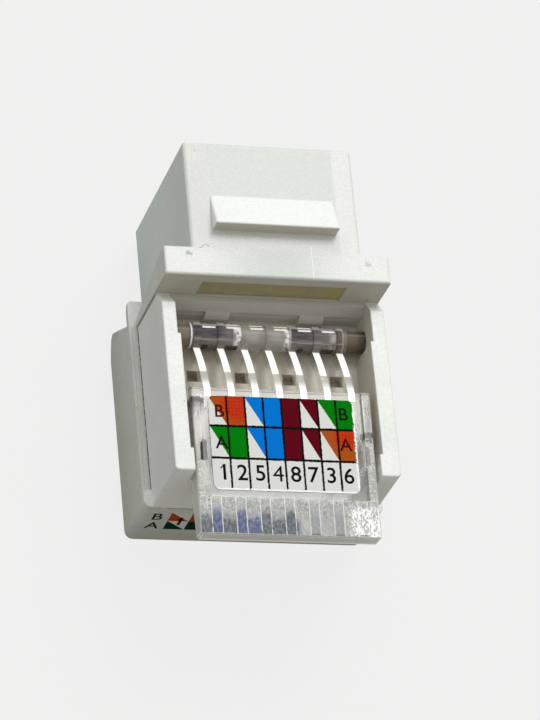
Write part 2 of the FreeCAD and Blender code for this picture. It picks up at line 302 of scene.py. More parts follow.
def colour_cells(across, rows_down, colour_rows, dots, colour_on_right):
    """Two printed rows: across runs 0 to 1 over the columns, rows_down 0 to 1 down each row."""
    columns = across * column_count
    part = columns - math.floor(columns)
    cut = across.steps([white if column in cut_columns else black for column in range(column_count)])
    rows = []
    for down, colours, red in zip(rows_down, colour_rows, dots):
        halftone = across.steps([white if colour == orange else black for colour in colours])
        solid = (halftone * red).tint(across.steps(colours), red_dots)
        bare = part < down if colour_on_right else part > down
        rows.append((cut * bare).tint(solid, paper))
    return (rows_down[1] > 0.0).tint(*rows)


print("columns cut by a diagonal:", cut_columns)

# %% [markdown]
# ## White mouldings
# The white parts are ABS from a spark-eroded mould: satin, with a fine even grain, and mottled a little
# by handling. A plain white with a constant gloss looks like paper, so noise varies the white slowly,
# dust specks come from the cells of a Voronoi texture, and the grain drives both roughness and relief.
# Marks of one piece only are given as a list, each with its name, its mask and its colour. Ink has less
# gloss than the plastic, so print gets a matt shader of its own.

# %% White plastic
nose_top, rear_face, block_front = 8.05, -19.0, -2.7
rim = nose_top - 9.95
body_white, body_shade = paint(222, 223, 218), paint(216, 218, 212)
block_white, block_shade = paint(240, 241, 237), paint(232, 234, 229)
speck_brown, seam_brown = paint(122, 115, 102), paint(74, 69, 60)
shade_scale, speck_scale, mottle_scale, grain_scale = 0.22, 0.8, 6.0, 7.0
speck_edge, speck_strength, mottle_strength = (0.075, 0.04), 0.65, 0.1
grain_depth, edge_radius = 0.012, 0.13


def moulded_white(name, shade, light, marks, print_on=None):
    """Satin white plastic with the marks of one piece, and print_on as a mask and colour in matt ink."""
    material, place = start_material(name)
    x, y, z = axes(place)
    colour = noise(place, shade_scale).fade(0.3, 0.7).tint(shade, light)
    specks = place.node("ShaderNodeTexVoronoi", {"Vector": place, "Scale": speck_scale})
    colour = (specks.fade(*speck_edge) * speck_strength).tint(colour, speck_brown)
    for what, mask, mark_colour in marks(place, x, y, z):
        colour = mask.tint(colour, mark_colour)
        print("mark on", name, what)
    colour = (noise(place, mottle_scale).fade(0.35, 0.65) * mottle_strength).tint(colour, speck_brown)
    grain = noise(place, grain_scale, detail=3.0, rough=0.6)
    shader = place.node("ShaderNodeBsdfPrincipled", {
        "Base Color": colour,
        "Roughness": 0.44 + 0.12 * grain,
        "IOR": 1.5,
        "Normal": relief(place, grain, grain_depth, edge=edge_radius),
    })
    if print_on:
        mask, ink_colour = print_on(place, x, y, z)
        matt = place.node("ShaderNodeBsdfPrincipled", {
            "Base Color": ink_colour,
            "Roughness": 0.4 + 0.2 * grain,
            "Specular IOR Level": 0.02,
        })
        shader = place.node("ShaderNodeMixShader", {0: mask, 1: shader, 2: matt})
    return end_material(material, shader)


print("body and block reflect", [round(colour[0], 2) for colour in (body_white, block_white)])

# %% [markdown]
# ## Jack body
# The body is the nose with its ridge, the flange and the base. Its top looks greyer where the plastic
# is thin above the plug opening. Light and shade are painted on it as well. Painted shade makes the base
# greyer towards the floor, the rear of the flange darker and the top of the flange darker in the middle,
# behind the ridge. The sides of the nose are painted lighter and cooler lower down, the ridge brighter on
# top and darker behind, and a brown dot is the painted shade inside a small pin-hole. It also has a few
# marks of use: two scuffs and a fibre on the flange, a bright scratch and dirt in the seam. Wear is often
# painted by hand on an image. Here each mark is a mask in millimetres, which needs no image and stays
# sharp from any distance.

# %% Marks of the jack body
nose_half_width, face_depth = 7.25, 0.03
panel_left, panel_right, flange_back = -5.2, 5.35, (-2.6, -2.5)
scratch_x, scratch_y = (2.95, 2.99), (-2.5, 0.6)
fibre_start, fibre_end = -6.6, -5.75
scuffs, scuff_radius = ((-7.5, -0.68), (7.74, -0.81)), 0.4
dot_place, dot_radius = (8.46, nose_top - 3.26), 0.12
foot_edge, base_edge = (9.42, 9.54), (9.98, 10.01)


def body_marks(place, x, y, z):
    upper = z > nose_top - 0.1
    smear = noise(place, 2.5)
    on_flange = y.fade(0.4, -0.6)
    nose_side = abs(x).fade(nose_half_width - 0.12, nose_half_width - 0.06) * (y > 0.02)
    # Painted light: the sides of the nose are painted lighter and cooler lower down.
    nose_side_light = z.fade(nose_top - 1.0, nose_top - 9.0).tint(paint(226, 229, 226), paint(230, 238, 236))
    behind_flange = y.band(*flange_back)
    # Painted shade: the rear of the flange, turned away from the lamp, is painted a darker warm grey.
    flange_rear_shade = behind_flange * (z < nose_top - 0.2) * (z > rim + 0.3)
    panel = upper * x.band(panel_left, panel_right, 0.15) * (1 - on_flange)
    # Painted shadow: the top of the flange is painted darker in the middle, behind the ridge.
    flange_shadow_dip = abs(x).fade(7.0, 0.5).tint(paint(233, 234, 230), paint(211, 213, 208))
    # Painted light and shade: the ridge is painted brighter on top and darker on its rear face.
    ridge_lit_and_shaded = y.fade(1.75, 1.65).tint(paint(237, 239, 235), paint(192, 189, 174))
    curl = (x * 9.0).sine() * 0.1 + (x - fibre_start) * 0.3 - y - 0.05
    fibre = upper * abs(curl).fade(0.06, 0.02) * x.band(fibre_start, fibre_end) * 0.7
    foot_line = abs(x).band(*foot_edge) + abs(x).band(*base_edge) * 0.6
    foot_line = foot_line * z.band(rim - 0.05, rim + 0.05) * (y < block_front)
    rear_line = (y < rear_face + face_depth) * z.band(rim - 0.06, rim + 0.06)
    marks = [
        # Painted shade: the base is painted greyer towards the floor.
        ("shade low on the base", z.fade(rim, rim - 6.0) * 0.52, paint(194, 192, 182)),
        ("sides of the nose", nose_side, nose_side_light),
        ("rear of the flange", flange_rear_shade, paint(198, 194, 182)),
        ("right edge of the top", upper * x.fade(panel_right, panel_right + 0.3), paint(230, 231, 227)),
        ("thin panel in the top", panel, paint(217, 219, 214)),
        ("top of the flange", upper * on_flange, flange_shadow_dip),
        ("ridge", z.fade(nose_top + 0.02, nose_top + 0.1), ridge_lit_and_shaded),
        ("scratch", upper * x.band(*scratch_x) * y.band(*scratch_y), white),
        ("fibre", fibre, speck_brown),
    ]
    for scuff in scuffs:
        mask = upper * spot(x, y, scuff, scuff_radius) * smear.fade(0.4, 0.6)
        marks.append(("scuff", mask, paint(176, 178, 174)))
    dirt = foot_line.most(rear_line) * smear.fade(0.3, 0.5) * 0.8
    # Painted shade: the brown dot is the dark inside of a small pin-hole.
    marks.append(("brown dot", behind_flange * spot(x, z, dot_place, dot_radius), paint(64, 50, 30)))
    marks.append(("dirt in the seam", dirt, seam_brown))
    return marks


print("scuffs at", scuffs, "fibre from", fibre_start, "to", fibre_end, "mm")

# %% [markdown]
# The colour code is printed straight onto the rear face, in cells 1.8 mm wide whose diagonals leave the
# colour on the left. A thin sheet with the print could be laid over the face, but it would show an
# edge, so the ink is a second shader on the face itself.

# %% Rear print and jack body
rear_cell, rear_left, rear_row, rear_rows_top = 1.8, -7.6, 1.65, nose_top - 10.8


def rear_print(place, x, y, z):
    """Mask and colours of the printed cells on the rear face."""
    across = (x - rear_left) / (rear_cell * column_count)
    down = (rear_rows_top - z) / rear_row
    dots = noise(place, 2.5) * 0.35
    rows = wire_rows(rear_green)
    cells = colour_cells(across, (down, down - 1.0), rows, (dots, dots), colour_on_right=False)
    return (y < rear_face + face_depth) * across.band(0.0, 1.0, 0.002) * down.band(0.0, 2.0), cells


dress(moulded_white("white_body_plastic", body_shade, body_white, body_marks, rear_print), "jack_body")

# %% [markdown]
# ## Wiring block
# The block is a second moulding in a slightly brighter white. The inside of its bay gets its light
# through the lid and from wall to wall, so it looks warm and grey there, and dirt marks the seam along
# its foot. The bay could be left to the light alone, but that takes many bounces to look right, so the
# warm grey is painted in as shade, and the recess at the front of the bay is painted lighter. The rear
# face is painted brighter, as light.

# %% Wiring block
wall_top, wall_inside, sill_front = nose_top - 2.3, 8.42, -17.8
bay_front, recess_roof = (-5.5, -3.4), (nose_top - 4.5, nose_top - 4.8)
block_foot = (9.3, 9.54)


def block_marks(place, x, y, z):
    smear = noise(place, 2.0, detail=4.0)
    at_rear = y < rear_face + face_depth
    foot_line = abs(x).band(*block_foot) * z.fade(rim + 0.24, rim + 0.1) * (y > rear_face + 1.6)
    rear_line = at_rear * z.fade(rim + 0.1, rim + 0.02)
    inside = abs(x).fade(wall_inside, wall_inside - 0.06) * z.fade(wall_top - 0.05, wall_top - 0.3)
    inside = inside * (y > sill_front - 0.02)
    # Painted shade: the inside of the bay is painted a warm grey.
    bay_floor = x.fade(-2.0, 5.0).tint(paint(198, 192, 175), paint(211, 206, 193))
    at_front = y.fade(*bay_front)
    bay_colour = at_front.tint(bay_floor, paint(198, 195, 187))
    # Painted light: the recess at the front of the bay is painted lighter.
    recess = inside * z.fade(*recess_roof) * at_front
    return [
        # Painted light: the rear face is painted brighter than the rest of the block.
        ("rear face", at_rear, paint(252, 252, 248)),
        ("inside of the bay", inside, bay_colour),
        ("recess at the front of the bay", recess, paint(224, 220, 209)),
        ("dirt in the seam", foot_line.most(rear_line) * smear.fade(0.3, 0.55) * 0.8, seam_brown),
    ]


block_plastic = moulded_white("white_block_plastic", block_shade, block_white, block_marks)
dress(block_plastic, "wiring_block")

# %% [markdown]
# ## Joint between the mouldings
# The block is pressed against the rear of the flange, and a thin lip on its front edge closes the
# joint. Its middle reaches into the window of the flange, up to the insert. Two solids could share a
# face exactly, yet a real joint has its own soft edge, so the lip is a piece of its own: a flat
# outline, extruded downwards, with its upper edges bevelled.

# %% Lip along the front of the block
lip_half_length, lip_front, lip_top, lip_height = 9.45, -2.55, nose_top - 3.6, 0.6
sill_half_length, insert_rear = 6.1, -2.4
lip_bevel = 0.03


def finish_piece(name, shape, body, material):
    """Turn a bmesh into a piece that rides on a body."""
    mesh = bpy.data.meshes.new(name)
    shape.to_mesh(mesh)
    shape.free()
    piece = bpy.data.objects.new(name, mesh)
    bpy.context.scene.collection.objects.link(piece)
    mesh.materials.append(material)
    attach(piece, body)
    print(name, "rides on", body, "with", len(mesh.polygons), "faces")


shape = bmesh.new()
right_side = [
    (lip_half_length, block_front),
    (lip_half_length, lip_front),
    (sill_half_length, lip_front),
    (sill_half_length, insert_rear),
]
outline = right_side + [(-across, along) for across, along in reversed(right_side)]
upper_face = shape.faces.new([shape.verts.new(Vector((*corner, lip_top)) * mm) for corner in outline])
lower = bmesh.ops.extrude_face_region(shape, geom=[upper_face], use_keep_orig=True)["geom"]
lower_corners = [part for part in lower if isinstance(part, bmesh.types.BMVert)]
bmesh.ops.translate(shape, verts=lower_corners, vec=(0, 0, -lip_height * mm))
bmesh.ops.recalc_face_normals(shape, faces=shape.faces)
bmesh.ops.bevel(shape, geom=upper_face.edges[:], offset=lip_bevel * mm, segments=2, profile=0.5,
                affect="EDGES", material=-1)
finish_piece("front_lip", shape, "jack", block_plastic)

# %% [markdown]
# ## Clear lid
# The lid is polycarbonate. A refracting shader alone gives glass that is too perfect: on the real lid
# the straps, the tail and the middle of the axle bar are frosted, and reflections turn parts of the bar
# dark. So two shaders are mixed, one that refracts and one that is a rough skin with colours of its
# own. Each finish of the lid is a layer of that skin: its mask, its colour, and the share of the skin
# that shows there.
# The masks are written in the flat frame of the lid: u across, v behind the axle, w above it. The lane
# is the distance from the middle of the nearest strap or rib, which repeat at the pitch of the wires.

# %% The lid's own frame
lid_tilt = math.radians(3.0)
lid_top, lid_half_width, lid_end, plate_start = 2.83, 7.6, 18.45, 5.7
bar_radius, wire_pitch = 1.16, 2.045

clear_plastic, lid_place = start_material("clear_plastic", axle, lid_tilt)
u, forward, w = axes(lid_place)
v = forward * -1.0
lane = abs(u / wire_pitch - math.floor(u / wire_pitch + 0.5)) * wire_pitch
in_bar = (v * v + w * w).root().fade(bar_radius + 0.06, bar_radius)
plate = (v > plate_start) * (1 - in_bar)
top_face = abs(u).fade(lid_half_width - 0.02, lid_half_width - 0.12)
top_face = top_face * v.fade(lid_end - 0.02, lid_end - 0.1)
cloud = noise(lid_place, 0.35, detail=1.0)
flecks = noise(lid_place, 2.2, detail=3.0)
sparkle = noise(lid_place, 5.0, detail=4.0, rough=0.7)
layers = []


def layer(what, mask, colour, share=None):
    """Keep one finish of the lid."""
    layers.append((mask, colour, share))
    print("lid layer", len(layers), what)


print("lid from", plate_start, "to", lid_end, "mm behind the axle")

# %% [markdown]
# Seven curved straps join the axle bar to the plate, and a bright strip runs along the top of each,
# dull only in the bend. A reflected lamp could draw it, but it would wander as the view turns. So it is
# a painted highlight in the skin, found by the distance from the centre of the straps' curve, and a
# faint emission gives it a painted glow.

# %% White strips on the straps
strap_centre, strap_radius, strap_end = (10.80, -13.33), 16.68, 6.0
strip_edge, strip_end = (0.32, 0.26), (6.42, 6.38)
before_bend, after_bend, dull = (4.0, 3.8), (4.4, 5.6), 0.3

arm, rise = v - strap_centre[0], w - strap_centre[1]
strap_top = (arm * arm + rise * rise).root().fade(strap_radius - 0.06, strap_radius - 0.03)
strap_top = strap_top * (v < strap_end) * (1 - in_bar)
plate_top = w.fade(lid_top - 0.6, lid_top - 0.4) * (v > 5.8)
shine = dull + (v.fade(*before_bend) + v.fade(*after_bend)) * (1 - dull)
# Painted highlight: the bright strips along the straps.
strips = strap_top.most(plate_top) * lane.fade(*strip_edge) * v.fade(*strip_end) * shine
layer("white strips along the straps", strips, paint(252, 252, 246), strips)

# %% [markdown]
# The axle bar is a clear rod that mirrors the bay around it, so it shows dark windows between paler
# stretches. True reflections in so thin a rod come out noisy, so the windows are painted: darker
# above than below, drawn out in streaks along the bar, with one pale line low down and a pale top.

# %% Windows of the axle bar
dark_windows = ((-6.45, -3.05, 0.06), (1.75, 5.2, 0.1), (5.75, 6.35, 0.05))
bar_half_length, brown_window = 6.7, (5.75, 6.4, 0.05)
below_to_above, pale_line, pale_top = (-0.6, -0.3), (-0.66, -0.6, 0.03), (0.5, 0.6)
bar_share, window_share = 0.45, 0.45

stretched = lid_place.node("ShaderNodeMapping", {"Vector": lid_place, "Scale": (0.35, 3.0, 3.0)})
streaks = noise(stretched, 1.5, detail=3.0)
windows = bands(u, dark_windows) * in_bar
journal = abs(u).fade(bar_half_length, bar_half_length + 0.05) * in_bar
above = streaks.fade(0.4, 0.7).tint(paint(56, 49, 58), paint(88, 81, 88))
below = streaks.fade(0.3, 0.7).tint(paint(104, 97, 94), paint(142, 134, 128))
dark = forward.fade(*below_to_above).tint(below, above)
paler = u.band(-3.9, -3.0, 0.5) * 0.45 + u.fade(2.2, 5.4) * 0.5
dark = paler.tint(dark, paint(150, 141, 134))
dark = u.band(*brown_window).tint(dark, paint(104, 92, 80))
dark = forward.band(*pale_line).tint(dark, paint(176, 170, 166))
dark = forward.fade(*pale_top).tint(dark, paint(190, 186, 184))
pale_bar = streaks.tint(paint(160, 155, 144), paint(200, 196, 186))
frosted_bar = in_bar * (bar_share + windows * window_share + journal * window_share)
layer("pale bar", in_bar * (1 - journal), pale_bar, frosted_bar)
layer("dark windows in the bar", windows, dark)

# %% [markdown]
# The ends of the bar turn in sockets, whose shade makes them look brown. Along the bar there are also
# ragged white seams, painted highlights as bright dashes on top, between the straps, and as bright
# lines at both ends, and painted shadow in dark gaps below, where one looks past the bar. All of them
# are short bands along the bar, so a table of bands places them.

# %% Ends, seams and gaps of the axle bar
ragged_seams = ((-3.0, -2.35, 0.15), (1.25, 1.8, 0.15))
faint_seam, left_end_highlight, right_end_highlight = (5.25, 5.7, 0.1), (-6.7, -6.56), (6.24, 6.34)
shadow_gaps = ((-5.7, -5.15, 0.02), (-3.65, -2.6, 0.05), (2.45, 3.0, 0.05), (4.5, 5.7, 0.05))
dash_rows, upper_row_half_length = ((0.34, 0.52), (0.7, 0.86)), 4.0

brown = (u > 0.0).tint(paint(138, 128, 110), paint(118, 103, 86))
brown = (abs(u).fade(7.3, 8.1) * 0.7).tint(brown, paint(74, 61, 48))
layer("brown ends of the bar", journal, brown)
layer("light on the ends", journal * forward.band(0.2, 0.32, 0.05) * 0.6, paint(180, 170, 156))
# The ragged seams are white; the lines at both ends of the bar are painted highlights.
seams_and_end_highlights = (bands(u, ragged_seams) + u.band(*faint_seam) * 0.6) * flecks.fade(0.35, 0.55)
seams_and_end_highlights = seams_and_end_highlights + u.band(*left_end_highlight) + u.band(*right_end_highlight) * 0.3
between = lane.fade(0.44, 0.5) * (abs(u) < bar_half_length - 0.5)
# Painted highlights: bright dashes on top of the bar, between the straps.
upper_dashes = forward.band(*dash_rows[1]) * (abs(u) < upper_row_half_length)
dashes = between * (forward.band(*dash_rows[0]) + upper_dashes)
white_bits = (seams_and_end_highlights.most(dashes) * in_bar * (1 - journal)).least(1.0)
layer("white seams and dashes", white_bits, paint(255, 255, 253), white_bits)
# Painted shadow: dark gaps below the bar.
gaps = bands(u, shadow_gaps) * between * (forward < 0.0) * w.fade(0.5, 0.4) * in_bar
layer("dark gaps below the bar", gaps, paint(56, 48, 40), gaps * 0.9)

# %% [markdown]
# The tail is grained on top and carries a comb of ribs below, and the print on the rear of the jack
# shows through it as blurred blue and grey cells. Refraction gives that too faintly through a grained
# face, so the cells are also a tint in the skin, strongest near the end of the tail and over the ribs.
# It stays on the top face, so that the inside looks clear when the lid is open.

# %% Print seen through the tail
tail_start, rib_half_width = 15.2, 0.425
grain_turn, grain_stretch = (0.0, 0.0, 0.4), (1.9, 1.1, 1.0)
blue_columns = ((-6.5, -5.7, 0.02), (-4.5, -2.5, 0.02))
rib_reach, fleck_reach, print_start = 0.6, 1.6, (tail_start + 0.7, tail_start + 2.2)

tail = v.fade(tail_start - 0.1, tail_start + 0.1)
end_lip = v.fade(lid_end - 0.17, lid_end - 0.12)
on_rib = lane.fade(rib_half_width, rib_half_width - 0.04)
turned = lid_place.node("ShaderNodeMapping", {
    "Vector": lid_place, "Rotation": grain_turn, "Scale": grain_stretch,
})
texture = noise(turned, 2.7, detail=4.0, rough=0.7).fade(0.43, 0.6) * top_face
low_tail = (v + on_rib * rib_reach + (flecks - 0.5) * fleck_reach).fade(*print_start) * (1 - end_lip)
over_ribs = on_rib * u.fade(5.2, 4.4) * 0.65
shaded = u.fade(1.4, 0.4).most(over_ribs).most(u.fade(4.8, 4.2) * 0.22)
seen = low_tail * shaded * top_face * (1 - texture * 0.16) * w.fade(lid_top - 0.3, lid_top - 0.2)
cells = bands(u, blue_columns).tint(paint(40, 52, 68), paint(0, 40, 104))
layer("grained tail", tail, paint(216, 217, 212))
layer("print seen through the tail", seen, cells)

# %% [markdown]
# Light also picks out the sides of the ribs as white lines and their ends as dark dashes, and glares in
# flecks on the right end of the tail. These follow the comb, so they are written with the lane as well.

# %% Ribs, glare and lip of the tail
bed_half_width, glare_start = 6.85, (4.6, 5.6)
in_bed = abs(u).fade(bed_half_width, bed_half_width - 0.05)
glare = u.fade(*glare_start) * v.fade(tail_start + 0.2, tail_start + 1.0) * (1 - end_lip) * top_face
rib_sides = abs(lane - rib_half_width).fade(0.05, 0.02) * in_bed * tail
rib_sides = rib_sides * (1 - end_lip) * (w > lid_top - 0.1)
rib_ends = lane.fade(rib_half_width, rib_half_width - 0.06) * in_bed
rib_ends = rib_ends * v.band(lid_end - 0.3, lid_end - 0.17)
grained = 0.22 + texture * (0.34 - low_tail * 0.14) + seen + end_lip * 0.2 + glare * texture
layer("lip at the end", end_lip * tail, paint(190, 190, 185), (tail * grained).least(1.0))
bright = (glare * tail).most(rib_sides * flecks.fade(0.3, 0.5) * 0.7)
layer("glare and sides of the ribs", bright, paint(255, 255, 253), rib_sides * 0.8)
layer("ends of the ribs", rib_ends * 0.9, paint(70, 68, 66), rib_ends * 0.8)

# %% [markdown]
# Upright walls of clear plastic look pale where light runs inside them to an edge. Refraction shows
# that by itself after very many bounces of light. Here the walls of the tail get a thin pale skin
# instead, and its low edge and rear corners glow a little.

# %% Walls and edges of the tail
tail_bottom, walls_start = lid_top - 1.3, (11.9, 12.9)
walls = (1 - top_face) * v.fade(*walls_start)
end_face = v.fade(lid_end - 0.1, lid_end - 0.02)
low_edge = end_face * w.fade(tail_bottom + 0.35, tail_bottom + 0.12)
side_edge = abs(u).fade(lid_half_width - 0.3, lid_half_width - 0.15)
pale_edges = low_edge.most(walls * side_edge * v.fade(lid_end - 0.3, lid_end - 0.15))
pale_walls = walls * (0.35 + 0.2 * cloud) + end_face * 0.3 + pale_edges * 0.4
layer("pale walls of the tail", walls, paint(252, 252, 246), pale_walls.least(1.0))

# %% [markdown]
# Two rails run beside the label, each with a slot. They are cloudy and grained towards the tail.
# Shade is painted on them: a dark patch at the front of the left one, a grey band across the right one
# at the front of its slot, and grey in the left slot. The right slot is painted lighter, with a faint
# glow. The front edge of the plate is a pale band with a thin dark line. Each is a patch in
# millimetres, as on the white parts.

# %% Rails and front edge
left_slot_place = ((-7.05, -6.5, 0.04), (10.2, 12.0, 0.1))
right_slot_place = ((6.8, 7.5, 0.04), (9.8, 12.3, 0.06))
rail_edge, bed_edge = (7.42, 7.56), (6.86, 6.95)
rail_shade_ends, rail_shade_middle, slot_front_place = ((6.42, 6.6), (8.4, 7.0)), (6.6, 7.05, 0.08), (9.2, 9.7, 0.12)
grain_start, left_delay = (9.9, 10.2), 2.0
front_edge, front_line = (5.6, 6.3), (5.8, 5.92)

rails = abs(u).fade(bed_half_width - 0.05, bed_half_width + 0.05) * plate
# Painted shade: a dark patch at the front of the left rail.
at_left = u.fade(-6.4, -6.55) * plate * (1 - strips)
rail_shade = at_left * v.fade(*rail_shade_ends[0]) * v.fade(*rail_shade_ends[1])
rail_shade_core = at_left * v.band(*rail_shade_middle)
rail_shade_grey = rail_shade_core.tint(paint(128, 126, 122), paint(62, 60, 54))
layer("smudge on the left rail", rail_shade, rail_shade_grey, rail_shade * 0.5 + rail_shade_core * 0.45)
bits = sparkle.fade(0.38, 0.62)
rail_grain = rails * (1 - tail) * (v - (u < 0.0) * left_delay).fade(*grain_start) * top_face
rail_grey = bits.tint(paint(164, 164, 156), paint(226, 226, 217))
layer("grain of the rails", rail_grain, rail_grey, rail_grain * (0.55 + 0.2 * (u > 0.0)))
# Painted shade: grey in the slot of the left rail.
left_slot = u.band(*left_slot_place[0]) * v.band(*left_slot_place[1]) * plate
left_slot_grey = u.fade(-7.0, -6.7).tint(paint(118, 117, 110), paint(94, 93, 88))
layer("slot of the left rail", left_slot, left_slot_grey, left_slot * 0.9)
# Painted light: the right slot, shaded in its narrow walls, is painted lighter and glows faintly.
right_slot = u.band(*right_slot_place[0]) * v.band(*right_slot_place[1]) * (w < lid_top - 0.08) * plate
right_slot_grey = bits.tint(paint(150, 149, 141), paint(204, 203, 194))
layer("slot of the right rail", right_slot, right_slot_grey, right_slot * 0.9)
# Painted shade: a grey band across the right rail at the front of its slot.
slot_front_shade = u.fade(6.4, 6.7) * v.band(*slot_front_place) * plate
layer("mark on the right rail", slot_front_shade, paint(94, 92, 88), slot_front_shade * 0.85)
front_band = v.band(*front_edge) * (w > lid_top - 0.7) * (1 - strips)
front_grey = v.band(*front_line).tint(paint(190, 186, 178), paint(128, 124, 116))
layer("front edge of the plate", front_band, front_grey, front_band * 0.6)

# %% [markdown]
# Now the layers go over each other in their order, and the largest share wins where they overlap. The
# refracting shader is a little grey in the tail, where grain and ribs dim it, and at the rear of the
# left rail as painted shade, rippled by the slow cloud, and rough in the bar. The strips, the dashes,
# the pale edges and the right slot get a painted glow, a faint emission of the skin.

# %% Two shaders in one material
emission = 0.18
rail_lines = abs(u).band(*rail_edge) + abs(u).band(*bed_edge)
share = rails * (0.1 + cloud.fade(0.35, 0.65) * 0.35 + rail_lines * 0.35)
share = share.most(plate_top * (0.04 + 0.16 * flecks) * (1 - tail))
skin = cloud.tint(paint(206, 205, 199), paint(222, 221, 216))
for mask, colour, layer_share in layers:
    skin = mask.tint(skin, colour)
    if layer_share is not None:
        share = share.most(layer_share)

# Painted shade: the rear of the left rail is a little grey in the refracting colour.
left_rail_rear_shade = rails * v.fade(11.5, 12.5) * (u < 0.0)
clear_colour = (tail * 0.9).most(left_rail_rear_shade * 0.3).tint(paint(250, 250, 247), paint(186, 187, 184))
grained_top = tail * top_face
ripple = relief(lid_place, cloud * 0.5 + sparkle * (0.02 + 0.6 * grained_top * (1 - seen * 0.4)), 0.03)
clear = lid_place.node("ShaderNodeBsdfPrincipled", {
    "Base Color": clear_colour,
    "Roughness": 0.03 + 0.1 * sparkle * grained_top + 0.35 * in_bar,
    "IOR": 1.58,
    "Transmission Weight": 1.0,
    "Alpha": 0.2 + 0.5 * plate.most(in_bar),
    "Normal": ripple,
})
# Painted glow: strips, dashes, pale edges and the right slot emit a little light.
painted_glow = strips.most(dashes * in_bar).most(pale_edges * 0.7).most(right_slot)
frosted = lid_place.node("ShaderNodeBsdfPrincipled", {
    "Base Color": skin,
    "Roughness": 0.3 + 0.2 * sparkle + 0.3 * in_bar,
    "IOR": 1.58,
    "Emission Color": painted_glow.tint(black, white),
    "Emission Strength": emission,
    "Normal": ripple,
})
mixed = lid_place.node("ShaderNodeMixShader", {0: share, 1: clear, 2: frosted})
dress(end_material(clear_plastic, mixed), "wire_lid")

# %% [markdown]
# ## Label
# The sticker lies in a shallow bed of the lid. It has the two colour rows and a row of pin numbers,
# black lines between the cells, and a ragged bare edge where it was cut, painted pure white as a
# highlight. A little noise on the coordinates keeps the printed edges from being ruler-straight, and
# fine dots of red in the orange are the printer's halftone.

# %% Printed sticker
label_half_width, label_start, label_length = 6.17, 6.35, 8.15
bed_depth, label_thickness = 0.3, 0.08
label_top = lid_top - bed_depth + label_thickness
cell_width = 2 * label_half_width / column_count
row_lines, line_half = (0.322, 0.664), 0.09
red_in_b, red_in_a = ((-3.7, 0.8), 2.0), ((5.2, 3.3), 1.3)
wobble_size, ragged_size, bare_and_bright_edge, dot_rate = 0.14, 0.5, (0.16, 0.1), 11.0


def printed_label(name):
    material, place = start_material(name, axle, lid_tilt)
    side, ahead, height = axes(place)
    wobble = noise(place, 6.0, detail=3.0) - 0.5
    across = (side + wobble * wobble_size + label_half_width) / (2 * label_half_width)
    behind = wobble * wobble_size - ahead - label_start
    down = behind / label_length
    in_b = down / row_lines[0]
    in_a = (down - row_lines[0]) / (row_lines[1] - row_lines[0])
    weave = ((side + ahead + wobble) * dot_rate).sine() * ((side - ahead) * dot_rate).sine()
    dots = weave.fade(-0.5, 0.3)
    dots_b = (dots * 0.5 + 0.5) * spot(side, behind, *red_in_b)
    dots_a = (dots * 0.6 + 0.4) * spot(side, behind, *red_in_a)
    rows = wire_rows(label_green)
    colour = colour_cells(across, (in_b, in_a), rows, (dots_b, dots_a), colour_on_right=True)
    colour = (down > row_lines[1]).tint(colour, paper)
    columns = across * column_count
    part = columns - math.floor(columns)
    from_line = (0.5 - abs(part - 0.5)) * cell_width
    lines = from_line.fade(line_half + 0.02, line_half - 0.02) * columns.band(0.5, column_count - 0.5)
    for line in row_lines:
        lines = lines.most(abs(behind - line * label_length).fade(line_half + 0.03, line_half - 0.01))
    colour = lines.tint(colour, paint(12, 12, 14))
    to_edge = (label_half_width - side).least(label_length - behind)
    # The bare cut edge is painted pure white, brighter than the paper, as a highlight.
    colour = (to_edge + wobble * ragged_size).fade(*bare_and_bright_edge).tint(colour, white)
    colour = (height > label_top - label_thickness / 2).tint(paint(206, 206, 200), colour)
    shader = place.node("ShaderNodeBsdfPrincipled", {
        "Base Color": colour,
        "Roughness": 0.38 + wobble * 0.2,
        "Specular IOR Level": 0.01,
        "Normal": relief(place, wobble, 0.01),
    })
    return end_material(material, shader)


dress(printed_label("printed_sticker"), "lid_label")

# %% [markdown]
# ## Pin numbers and letters
# Lettering could be painted by a material too, yet its outlines are curves, and Blender's own text
# gives them cleanly. Each character becomes a text curve, then a mesh, and only then is moved to its
# place, so that the finished piece sits at the origin with its place in its mesh. All characters of one
# print share a piece. Solidify with a negative thickness grows the ink on the upper side and leaves the
# shell inside out, so its faces are reversed. Recalculating them would be the usual way, but it can
# guess wrong where an outline folds over itself by a hair, as that of a bold B does.

# %% Characters as thin pieces of ink
ink_thickness = 0.006 * mm
plain_boldness, boldness = 0.01, {"4": 0.0, "/": 0.05}


def ink(name, fresh, worn):
    material, place = start_material(name)
    wear = noise(place, 8.0, detail=4.0)
    shader = place.node("ShaderNodeBsdfPrincipled", {
        "Base Color": wear.fade(0.4, 0.8).tint(fresh, worn),
        "Roughness": 0.35 + 0.3 * wear,
        "Specular IOR Level": 0.04,
    })
    return end_material(material, shader)


def lettering(name, body, characters, material):
    """One piece from (character, height, matrix) entries; a matrix places the middle of its character."""
    shape = bmesh.new()
    for character, height, matrix in characters:
        curve = bpy.data.curves.new(name, "FONT")
        curve.body = character
        curve.size = 1.0
        curve.offset = boldness.get(character, plain_boldness)
        text = bpy.data.objects.new(name, curve)
        flat = bpy.data.meshes.new_from_object(text)
        bpy.data.objects.remove(text)
        corners = [vertex.co for vertex in flat.vertices]
        low = Vector((min(c.x for c in corners), min(c.y for c in corners), 0))
        high = Vector((max(c.x for c in corners), max(c.y for c in corners), 0))
        size = height / (high.y - low.y)
        flat.transform(matrix @ Matrix.Scale(size, 4) @ Matrix.Translation(-(low + high) / 2))
        shape.from_mesh(flat)
        bpy.data.meshes.remove(flat)
        bpy.data.curves.remove(curve)
    bmesh.ops.solidify(shape, geom=shape.faces[:], thickness=-ink_thickness)
    bmesh.ops.reverse_faces(shape, faces=shape.faces[:])
    finish_piece(name, shape, body, material)


